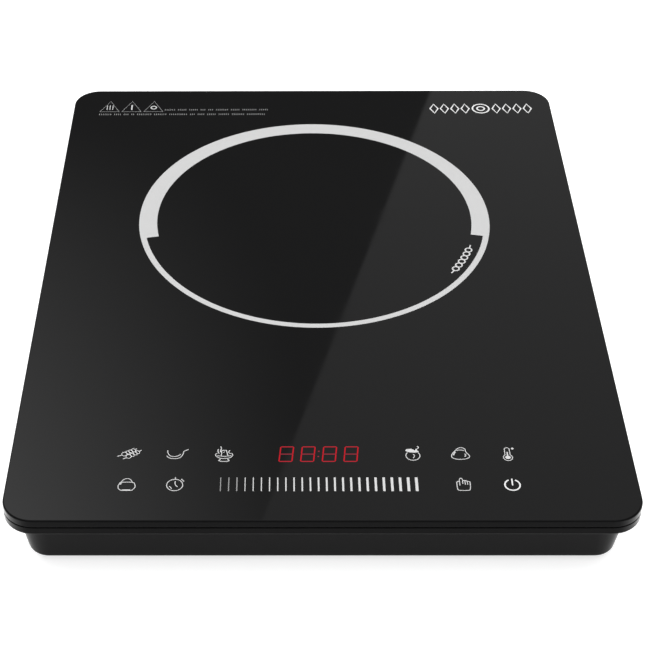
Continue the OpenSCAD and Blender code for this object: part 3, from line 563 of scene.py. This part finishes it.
GRILL_TILT, GRILL_LINE = 34, 0.26
grill = Drawing("symbol_grill", INK_CLEAR, (-89.2, -141.5))
for x, y, along, across in (
    (-2.55, 0.1, 1.22, 1.3), (-0.97, 1.15, 0.72, 1.2), (0.27, 1.88, 0.72, 1.2), (1.65, 2.65, 0.8, 1.25),
    (-0.45, -1.5, 1.22, 1.3), (1.2, -0.5, 0.76, 1.2), (2.5, 0.5, 0.74, 1.15), (3.65, 1.43, 0.74, 1.15),
):
    grill.oval(x, y, along, across, GRILL_TILT, GRILL_LINE)
for line in (
    ((-5.6, -1.4), (-3.9, -0.7)), ((-2.9, -3.1), (-1.6, -2.5)),
    ((4.4, 2.0), (5.3, 2.7)), ((2.5, 3.3), (3.1, 3.7)),
):
    grill.stroke(line, LINE)
grill.done()

fry = Drawing("symbol_fry", INK_FINE, (-67.0, -141.5))
fry.stroke(smooth([
    (-4.9, -1.1), (-4.2, -2.0), (-3.2, -2.7), (-1.9, -2.95), (0.0, -2.9), (1.3, -2.3), (2.2, -1.1),
    (2.7, 0.3), (2.8, 1.3), (3.2, 2.1), (4.1, 2.6), (5.1, 3.3),
]), LINE)
fry.stroke(smooth([
    (-4.6, 2.6), (-4.5, 1.2), (-4.0, -0.1), (-3.2, -1.1), (-2.2, -1.5), (-1.0, -1.55), (0.2, -1.2),
    (1.1, -0.5), (1.6, 0.1),
]), LINE)
fry.done()

hotpot = Drawing("symbol_hotpot", INK_FINE, (-45.1, -141.5))
hotpot.stroke(smooth([
    (-3.3, 0.6), (-3.9, 0.2), (-4.0, -0.8), (-3.2, -1.9), (-1.9, -2.7), (0.0, -2.9), (1.9, -2.7),
    (3.2, -1.9), (3.9, -0.8), (3.7, 0.2), (3.1, 0.6),
]), LINE)
hotpot.stroke(smooth([(-3.3, -1.0), (-2.0, -1.2), (0.0, -1.5), (2.0, -1.2), (3.3, -0.9)]), LINE)
hotpot.stroke([
    (-1.5, -1.2), (-1.2, 0.6), (-1.4, 1.8), (-1.1, 2.6), (0.9, 2.6), (1.1, 1.6), (1.4, 0.2),
    (1.7, -0.9),
], 0.4)
hotpot.stroke([(-0.5, 1.0), (0.1, 1.8)], 0.3)
for wisp in (
    ((-2.8, 3.4), (-3.1, 2.3), (-2.8, 1.3), (-2.5, 0.3)),
    ((-1.9, 5.2), (-1.5, 4.4), (-1.5, 3.5), (-1.9, 2.3), (-1.6, 1.3)),
    ((2.6, 2.7), (2.0, 1.7), (2.2, 0.9), (2.9, 0.3)),
):
    hotpot.stroke(smooth(wisp), 0.42)
hotpot.stroke(smooth([
    (-1.8, -3.1), (-1.9, -3.7), (-2.5, -4.2), (-1.8, -4.7), (0.0, -4.9), (1.8, -4.7), (2.3, -4.2),
    (1.8, -3.7), (1.7, -3.1),
]), 0.42)
hotpot.done()

soup = Drawing("symbol_soup", INK_FINE, (42.7, -141.5))
soup.stroke(arc(0.0, -1.0, 3.25, 3.15, 138, 402, 36), LINE)
soup.fill([
    (-3.3, 2.7), (-2.8, 3.3), (-1.7, 3.4), (-0.5, 3.6), (0.3, 3.1), (1.1, 2.4), (1.4, 3.3),
    (2.1, 3.6), (2.1, 2.5), (2.8, 1.9), (2.8, 1.4), (1.6, 1.1), (0.2, 1.0), (-1.3, 1.2),
    (-2.5, 1.6), (-3.2, 2.1),
])
soup.stroke(smooth([(2.3, 5.4), (2.9, 4.7), (2.8, 4.1), (2.1, 3.6)]), LINE)
soup.stroke(smooth([(0.2, -0.1), (0.7, -0.9), (0.5, -1.9), (0.0, -2.7)]), LINE)
soup.done()

steam = Drawing("symbol_steam", INK_FINE, (64.8, -141.3))
steam.stroke(smooth([
    (-4.15, -1.9), (-3.95, -0.6), (-3.4, 0.6), (-2.5, 1.7), (-1.7, 2.8), (-1.0, 3.6), (0.1, 4.1),
    (1.2, 4.1), (2.05, 3.6), (2.5, 2.8), (2.6, 1.8), (3.1, 0.5), (3.9, -0.7), (4.2, -1.9),
    (3.5, -2.9), (1.8, -3.55), (-0.3, -3.75), (-2.3, -3.55), (-3.7, -2.8),
], 4, closed=True), LINE, closed=True)
steam.stroke(smooth([(-1.6, 2.2), (-0.5, 2.5), (0.9, 2.5), (2.0, 2.1)]), 0.4)
steam.stroke(smooth([(-3.2, -1.0), (-2.8, 0.3), (-2.1, 1.3)]), 0.6)
steam.stroke(smooth([(2.1, 0.0), (2.5, -1.0), (2.0, -1.9)]), 0.5)
steam.done()

heat = Drawing("symbol_temperature", INK_FINE, (86.8, -141.5))
tube = arc(-0.05, 3.2, 1.15, 1.1, 0, 180, 14)
bulb = arc(0.0, -2.3, 2.1, 2.1, 125, 415, 34)
heat.stroke(tube + bulb, 0.36, closed=True)
heat.fill(arc(0.0, -2.25, 1.3, 1.1, 0, 360, 20)[:-1])
heat.bar(-0.05, 0.0, 0.66, 2.9)
heat.disc(2.6, 3.7, 0.6)
heat.done()

boil = Drawing("symbol_boil", INK_FINE, (-89.2, -161.6))
boil.stroke(smooth([
    (-3.85, -1.4), (-3.6, -2.6), (-2.8, -3.5), (-2.0, -3.8), (2.2, -3.8), (2.9, -3.3), (3.7, -2.2),
    (3.95, -1.0), (3.5, 0.4), (2.6, 1.4), (-2.6, 1.4), (-3.4, 0.3), (-3.8, -0.6),
], 4, closed=True), LINE, closed=True)
boil.stroke(smooth([(-2.6, 1.4), (-2.0, 2.8), (-0.7, 3.75), (0.6, 3.8), (1.8, 2.9), (2.5, 1.4)]), 0.34)
boil.bar(-0.05, -3.6, 3.9, 0.7)
boil.stroke([(-2.9, 0.0), (-2.6, 1.0)], 0.55)
boil.done()

timer = Drawing("symbol_timer", INK_FINE, (-67.25, -161.95))
timer.ring(0, 0, 3.68, LINE, steps=48)
timer.stroke([(0.1, 3.6), (0.1, 5.05)], 0.4)
timer.stroke([(2.85, 3.95), (4.2, 2.3)], 0.42)
timer.stroke(smooth([(0.15, 2.45), (0.15, 0.75), (0.55, -0.25), (1.35, -1.15)]), 0.42)
timer.stroke([(-2.4, -0.7), (-1.25, -2.35)], 0.42)
timer.done()

hand = Drawing("symbol_hand", INK_FINE, (64.7, -161.6))
hand.stroke(smooth([
    (-3.05, 0.8), (-3.05, -1.8), (-2.9, -3.2), (-2.1, -3.85), (1.9, -3.85), (2.7, -3.2),
    (2.95, -1.8), (3.05, 0.6), (2.9, 1.7), (2.2, 1.95), (1.3, 2.4), (0.3, 2.6), (-0.2, 2.3),
    (-0.3, 3.2), (-0.7, 3.9), (-1.35, 3.9), (-1.75, 3.2), (-1.8, 2.0), (-2.5, 1.95), (-2.95, 1.5),
], 3, closed=True), LINE, closed=True)
for line in (
    ((-1.75, 2.0), (-1.75, -0.7)), ((-0.35, 2.2), (-0.3, 0.3)),
    ((0.7, 2.4), (0.8, -0.2)), ((1.75, 2.0), (1.85, -0.2)),
):
    hand.stroke(line, 0.36)
hand.done()

power = Drawing("symbol_power", INK_CLEAR, (86.95, -161.95))
power.stroke(arc(0, 0, 3.45, 3.45, 115, 425, 44), 0.7)
power.bar(0.05, 1.85, 0.65, 4.4)
power.done()

# Power slider: 25 bars that grow wider towards the right, the first few fainter
BARS, BAR_STEP, BAR_HIGH, FAINT_BARS = 25, 3.733, 8.9, 3
FAINT_WIDE, FIRST_WIDE, WIDER = 0.4, 0.22, 1.06
SLIDER_AT = (-46.3, -161.5)
slider = Drawing("power_slider", INK_FINE, SLIDER_AT)
slider_low = Drawing("power_slider_low", INK_FAINT, SLIDER_AT)
for i in range(BARS):
    faint = i < FAINT_BARS
    kit = slider_low if faint else slider
    wide = (FAINT_WIDE if faint else FIRST_WIDE) + WIDER * i / (BARS - 1)
    kit.bar(BAR_STEP * i, 0.0, wide, BAR_HIGH)
slider.done()
slider_low.done()

# Display: four slanted digits with all segments lit, and a colon
DISPLAY_AT = (-19.65, -146.4)
DIGITS, DIGIT_STEP, DIGIT_W, DIGIT_H, SLANT, SEGMENT, SEGMENT_GAP = 4, 10.05, 6.0, 9.85, 0.09, 0.57, 0.06
COLON_X, COLON_Y, COLON_R = 18.0, (3.3, 6.8), 0.4
kits = {
    "bright": Drawing("display_uprights", LED_BRIGHT, DISPLAY_AT),
    "dim": Drawing("display_rungs", LED_DIM, DISPLAY_AT),
    "faint": Drawing("display_middles", LED_FAINT, DISPLAY_AT),
}


def segment(kit, a, b):
    """A six-sided segment with pointed ends, leaning with the digit."""
    (ax, ay), (bx, by) = a, b
    size = math.hypot(bx - ax, by - ay)
    ux, uy = (bx - ax) / size, (by - ay) / size
    half = SEGMENT / 2
    inset = half + SEGMENT_GAP
    outline = [
        (ax + ux * SEGMENT_GAP, ay + uy * SEGMENT_GAP),
        (ax + ux * inset - uy * half, ay + uy * inset + ux * half),
        (bx - ux * inset - uy * half, by - uy * inset + ux * half),
        (bx - ux * SEGMENT_GAP, by - uy * SEGMENT_GAP),
        (bx - ux * inset + uy * half, by - uy * inset - ux * half),
        (ax + ux * inset + uy * half, ay + uy * inset - ux * half),
    ]
    kit.fill([(x + y * SLANT, y) for x, y in outline])


for k in range(DIGITS):
    x = DIGIT_STEP * k
    for side in (x, x + DIGIT_W):
        segment(kits["bright"], (side, 0.0), (side, DIGIT_H / 2))
        segment(kits["bright"], (side, DIGIT_H / 2), (side, DIGIT_H))
    for y, tone in ((0.0, "dim"), (DIGIT_H / 2, "faint"), (DIGIT_H, "dim")):
        segment(kits[tone], (x, y), (x + DIGIT_W, y))
for y in COLON_Y:
    kits["faint"].disc(COLON_X + y * SLANT, y, COLON_R)
for kit in kits.values():
    kit.done()

# Back left: three plain triangles, and rows of ticks in place of small print
TRIANGLES_AT, TRIANGLE_STEP, TRIANGLE_HALF, TRIANGLE_HIGH = (-109.7, 160.4), 13.3, 5.8, 11.7
marks = Drawing("note_triangles", INK_FAINT, TRIANGLES_AT)
fills = Drawing("note_fillings", INK_FINE, TRIANGLES_AT)
for k in (-1, 0, 1):
    x = TRIANGLE_STEP * k
    corners = [(x - TRIANGLE_HALF, 0.0), (x + TRIANGLE_HALF, 0.0), (x, TRIANGLE_HIGH)]
    marks.stroke(corners, 0.36, closed=True)
    if k < 0:
        for dx in (-1.7, 0.0, 1.7):
            fills.bar(x + dx, 4.6, 0.42, 5.0)
    elif k == 0:
        fills.bar(x, 4.8, 0.8, 5.4)
    else:
        fills.ring(x, 4.6, 1.6, 0.7, steps=24)
marks.done()
fills.done()

TICK_WIDE, TICK_HIGH, TICK_STEP, WORD_GAP = 0.34, 1.5, 1.13, 1.25
ticks = Drawing("note_ticks", INK_FAINT)
for start, y, words in (
    (-89.3, 162.4, (6, 5, 5, 3, 3, 7, 5, 8, 5)),
    (-128.8, 157.2, (7, 4, 3, 2, 8, 7, 10, 3, 4, 5, 6, 7, 10)),
):
    x = start
    for count in words:
        for _ in range(count):
            ticks.bar(x, y, TICK_WIDE, TICK_HIGH)
            x += TICK_STEP
        x += WORD_GAP
ticks.done()

# Back right: a plain ornament, a double ring in a row of open diamonds
DIAMONDS, DIAMOND_FROM, DIAMOND_STEP, DIAMOND_X, DIAMOND_Y = 4, 9.4, 6.3, 2.4, 5.2
ornament = Drawing("corner_ornament", INK_CLEAR, (102.3, 163.3))
ornament.ring(0, 0, 5.0, 0.9, steps=48)
ornament.ring(0, 0, 2.2, 0.9, steps=32)
for side in (-1, 1):
    for k in range(DIAMONDS):
        x = side * (DIAMOND_FROM + DIAMOND_STEP * k)
        corners = [(x - DIAMOND_X, 0.0), (x, -DIAMOND_Y), (x + DIAMOND_X, 0.0), (x, DIAMOND_Y)]
        ornament.stroke(corners, 0.85, closed=True)
ornament.done()

# Blank foil plate in the recess under the case
PLATE_AT, PLATE_HALF, PLATE_CORNER, PLATE_HEIGHTS = (30, 20), (41.5, 24.5), 2.6, (0.18, 0.42)
plate_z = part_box("lower_housing")[0].z
plate = bpy.data.meshes.new("blank_plate")
shape = bmesh.new()
outline = []
for side_x, side_y, start in ((1, 1, 0), (-1, 1, 90), (-1, -1, 180), (1, -1, 270)):
    cx, cy = PLATE_AT[0] + side_x * PLATE_HALF[0], PLATE_AT[1] + side_y * PLATE_HALF[1]
    outline += arc(cx, cy, PLATE_CORNER, PLATE_CORNER, start, start + 90, 8)
rows = []
for x, y in outline:
    rows.append([shape.verts.new((x * MM, y * MM, plate_z + z * MM)) for z in PLATE_HEIGHTS])
shape.faces.new([r[0] for r in rows][::-1])
shape.faces.new([r[1] for r in rows])
for i, r in enumerate(rows):
    n = rows[(i + 1) % len(rows)]
    shape.faces.new((r[0], n[0], n[1], r[1]))
bmesh.ops.recalc_face_normals(shape, faces=shape.faces)
shape.to_mesh(plate)
shape.free()
plate.materials.append(FOIL)
plate_piece = bpy.data.objects.new("blank_plate", plate)
bpy.context.scene.collection.objects.link(plate_piece)
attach(plate_piece, BODY)

# ---- Camera --------------------------------------------------------------

EYE = Vector((-0.01724, -0.71130, TOP + 0.53772))
PITCH, YAW, ROLL = math.radians(38.847), math.radians(-0.394), math.radians(0.2985)
forward = Vector((math.sin(YAW) * math.cos(PITCH), math.cos(YAW) * math.cos(PITCH), -math.sin(PITCH)))
right = Vector((math.cos(YAW), -math.sin(YAW), 0.0))
down = forward.cross(right)
across = right * math.cos(ROLL) + down * math.sin(ROLL)
drop = down * math.cos(ROLL) - right * math.sin(ROLL)

lens = bpy.data.cameras.new("camera")
lens.sensor_width = 36.0
lens.lens = 93.53
lens.shift_x = 0.0736
lens.clip_start, lens.clip_end = 0.02, 60.0
camera = bpy.data.objects.new("camera", lens)
camera.matrix_world = Matrix((
    (across.x, -drop.x, -forward.x, EYE.x),
    (across.y, -drop.y, -forward.y, EYE.y),
    (across.z, -drop.z, -forward.z, EYE.z),
    (0.0, 0.0, 0.0, 1.0),
))
bpy.context.scene.collection.objects.link(camera)
bpy.context.scene.camera = camera

# ---- Floor and studio light ------------------------------------------------

# Glow of the floor, the stronger glow at both sides, and how far out that sets in
FLOOR_GLOW, SIDE_GLOW, SIDE_FROM, SIDE_TO = 0.69, 3.2, 0.15, 0.182


def floor_finish(graph, bsdf):
    """Pale paper lit from below, so that shadows on it stay light."""
    at = graph.place()
    pulp = graph.noise(at, 40.0, 3.0)
    graph.put(graph.blend(pulp, (0.74, 0.74, 0.74), (0.76, 0.76, 0.76)), bsdf.inputs["Base Color"])
    bsdf.inputs["Roughness"].default_value = 0.9
    bsdf.inputs["Emission Color"].default_value = (1.0, 1.0, 1.0, 1.0)
    where = graph.add("ShaderNodeSeparateXYZ")
    graph.put(at, where.inputs[0])
    aside = graph.ramp(graph.math("ABSOLUTE", where.outputs["X"]), SIDE_FROM, SIDE_TO)
    graph.put(graph.mix(aside, FLOOR_GLOW, SIDE_GLOW), bsdf.inputs["Emission Strength"])
    set_gloss(bsdf, 0.0)


FLOOR_HALF, FLOOR_Z = 9.0, -0.00002
sweep = bmesh.new()
bmesh.ops.create_grid(sweep, x_segments=8, y_segments=8, size=FLOOR_HALF)
floor_mesh = bpy.data.meshes.new("floor")
sweep.to_mesh(floor_mesh)
sweep.free()
floor_mesh.materials.append(finish_material("floor_paper", floor_finish))
floor = bpy.data.objects.new("floor", floor_mesh)
floor.location = (0.0, 0.0, FLOOR_Z)
bpy.context.scene.collection.objects.link(floor)

# The studio: bright overhead and at the horizon, dim between, with a lighter wall on
# the right whose upright edge the glass mirrors, and a soft glow from the upper left.
# Heights here are the upward part of a direction, from 0 at the horizon to 1 overhead.
EDGE_BACK, EDGE_FRONT = Vector((0.0732, 0.1835, 0.0)), Vector((-0.0272, -0.1849, 0.0))
EDGE_SOFT = 0.0012
# For each side: a strength, the height that has it, and how fast it climbs from there
LEFT_SIDE, RIGHT_WALL = (0.178, 0.51, 1.12), (0.68, 0.52, 0.8)
# The glow grows with height, and leans to the left above its turning height
GLOW_FROM, GLOW_RISE, GLOW_TURN, GLOW_LEAN = 0.614, 2.15, 0.481, -42.0
GLOW_POWER, GLOW_GAIN, GLOW_LIMIT = 1.35, 0.84, 1.9
BEHIND, HORIZON, OVERHEAD = 0.35, 1.05, 2.25
# Where the horizon's light ends, and where the overhead and the front light start
HORIZON_ENDS, OVERHEAD_STARTS, AHEAD_STARTS = (0.3, 0.46), (0.76, 0.9), (0.0, 0.35)

mirrored_eye = Vector((EYE.x, EYE.y, TOP - EYE.z))
wall = (EDGE_FRONT - mirrored_eye).cross(EDGE_BACK - mirrored_eye).normalized()
if wall.x < 0:
    wall = -wall

world = bpy.data.worlds.new("studio")
world.use_nodes = True
bpy.context.scene.world = world
sky = Graph(world.node_tree)
direction = sky.add("ShaderNodeTexCoord").outputs["Generated"]
parts = sky.add("ShaderNodeSeparateXYZ")
sky.put(direction, parts.inputs[0])
sx, sy, sz = parts.outputs
dot = sky.add("ShaderNodeVectorMath", operation="DOT_PRODUCT")
sky.put(direction, dot.inputs[0])
dot.inputs[1].default_value = wall
right_side = sky.ramp(dot.outputs["Value"], -EDGE_SOFT, EDGE_SOFT)


def above(height, factor):
    """How far a direction points above a height, times a factor."""
    return sky.math("MULTIPLY", sky.math("SUBTRACT", sz, height), factor)


def climb(strength, height, rise):
    return sky.math("ADD", strength, above(height, rise))


leaning = sky.math("MULTIPLY", above(GLOW_TURN, GLOW_LEAN), sx)
glow = sky.math("MAXIMUM", sky.math("ADD", leaning, above(GLOW_FROM, GLOW_RISE)), 0.0)
glow = sky.math("MULTIPLY", sky.math("POWER", glow, GLOW_POWER), GLOW_GAIN)
left_side = sky.math("ADD", climb(*LEFT_SIDE), sky.math("MINIMUM", glow, GLOW_LIMIT))
ahead = sky.ramp(sy, *AHEAD_STARTS)
band = sky.mix(ahead, BEHIND, sky.mix(right_side, left_side, climb(*RIGHT_WALL)))
with_horizon = sky.mix(sky.ramp(sz, *HORIZON_ENDS, 1.0, 0.0), band, HORIZON)
radiance = sky.mix(sky.ramp(sz, *OVERHEAD_STARTS), with_horizon, OVERHEAD)
background = sky.add("ShaderNodeBackground")
background.inputs["Color"].default_value = (1.0, 1.0, 1.0, 1.0)
sky.put(radiance, background.inputs["Strength"])
sky.tree.links.new(background.outputs[0], sky.add("ShaderNodeOutputWorld").inputs["Surface"])

bpy.context.scene.view_settings.view_transform = "Standard"
